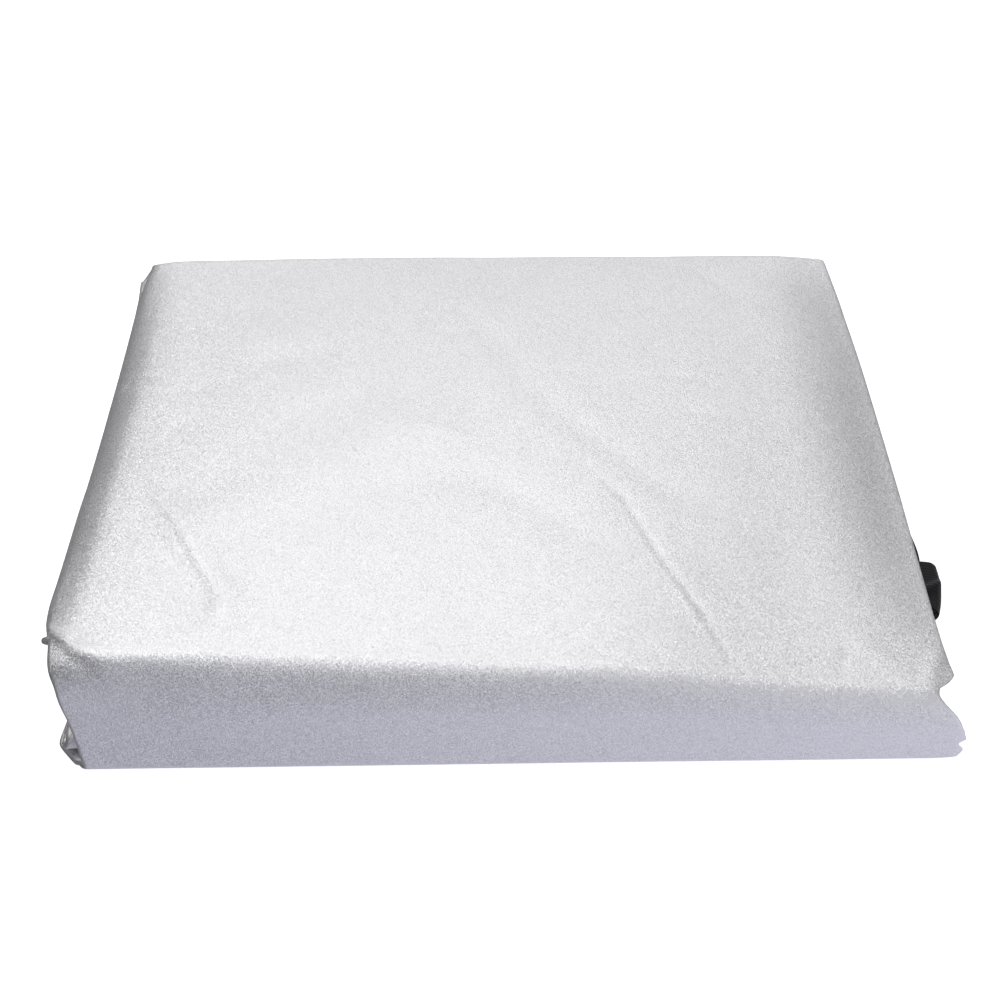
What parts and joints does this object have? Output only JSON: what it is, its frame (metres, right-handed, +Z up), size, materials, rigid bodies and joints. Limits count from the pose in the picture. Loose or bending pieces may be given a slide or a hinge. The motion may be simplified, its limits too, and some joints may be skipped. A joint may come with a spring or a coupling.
{
  "type": "folded patio furniture cover",
  "caption": "Silver-coated patio furniture cover, folded back and forth into a flat bundle, with black webbing strap showing between its layers at the side.",
  "frame": {"origin": "on the surface under the middle of the bundle's bounding box", "axes": "+X to the right along the front bend, +Y from the front bend to the back folds, +Z up"},
  "size_m": [0.3992, 0.3154, 0.0654],
  "materials": {
    "silver_cloth": "satin silver coating on a fine plain weave",
    "black_webbing": "woven black webbing"
  },
  "bodies": {
    "root": {"folded_cover": "silver_cloth", "webbing_strap": "black_webbing"}
  },
  "joints": []
}
